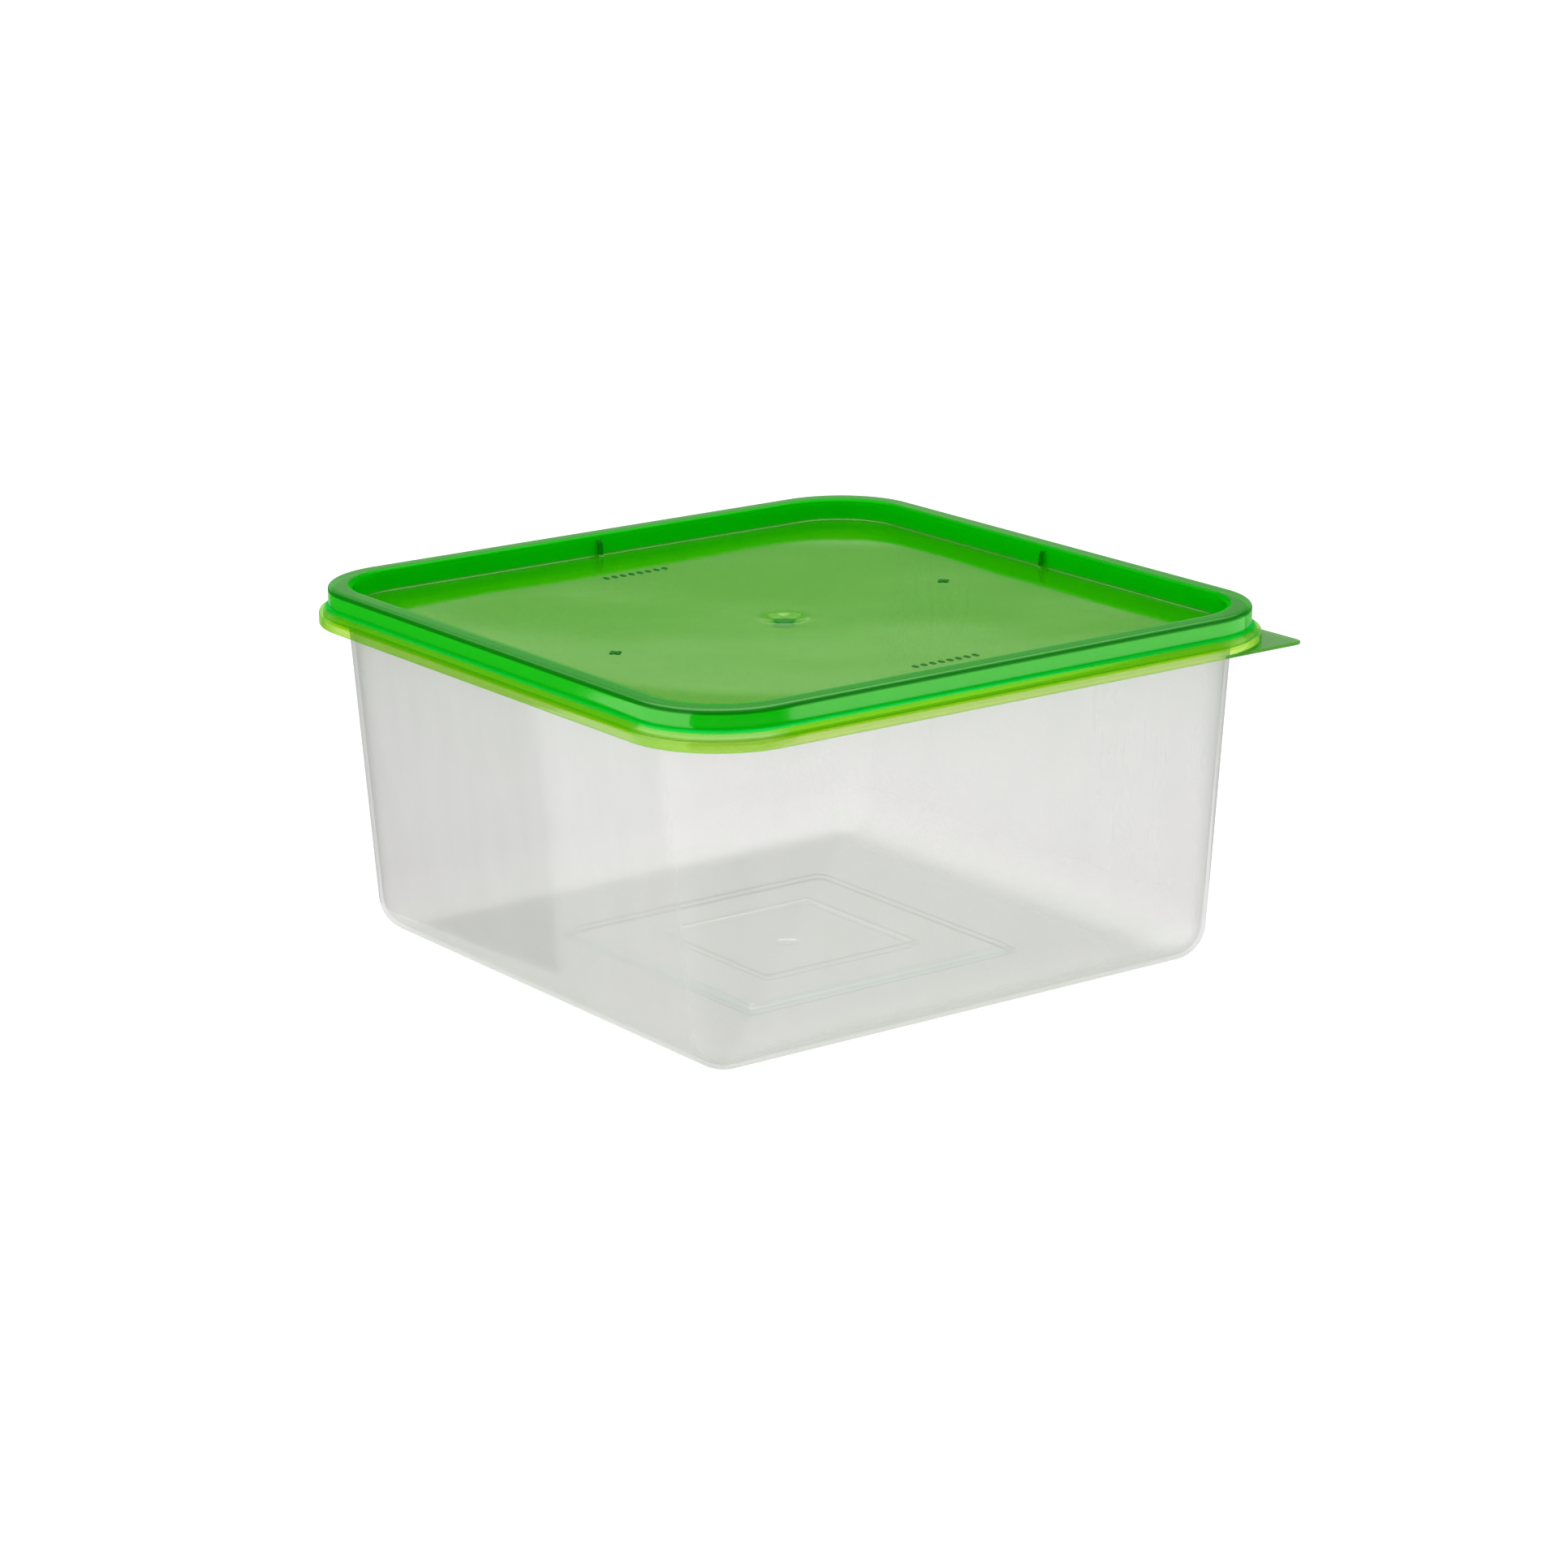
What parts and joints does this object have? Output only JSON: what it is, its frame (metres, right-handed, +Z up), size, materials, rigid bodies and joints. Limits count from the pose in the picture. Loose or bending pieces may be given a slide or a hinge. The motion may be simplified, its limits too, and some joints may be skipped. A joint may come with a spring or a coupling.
{
  "type": "snap lid food container",
  "caption": "Square translucent food storage tub with a recessed green snap lid that lifts off by a thin corner pull tab.",
  "frame": {"origin": "centre of the base, on the plane that the container stands on", "axes": "+Z up through the lid; X and Y are parallel to the square's sides; the pull tab is at the +X -Y corner"},
  "size_m": [0.189, 0.189, 0.0952],
  "materials": {
    "clear_tub": "milky translucent polypropylene, glossy outside",
    "green_lid": "translucent green polypropylene, glossy",
    "green_tab": "thin translucent green polypropylene, glossy"
  },
  "bodies": {
    "container": {"container": "clear_tub"},
    "lid": {"lid": "green_lid"},
    "pull_tab": {"pull_tab": "green_tab"}
  },
  "joints": [
    {"name": "lid_lift", "type": "slide", "parent": "container", "child": "lid", "axis": [0, 0, 1], "range_m": [0, 0.12]},
    {"name": "tab_flex", "type": "hinge", "parent": "lid", "child": "pull_tab", "pos_m": [0.08796, -0.08796, 0.08565], "axis": [-0.7071, -0.7071, 0], "range_deg": [0, 60], "stiffness_Nm_per_rad": 0.02}
  ]
}
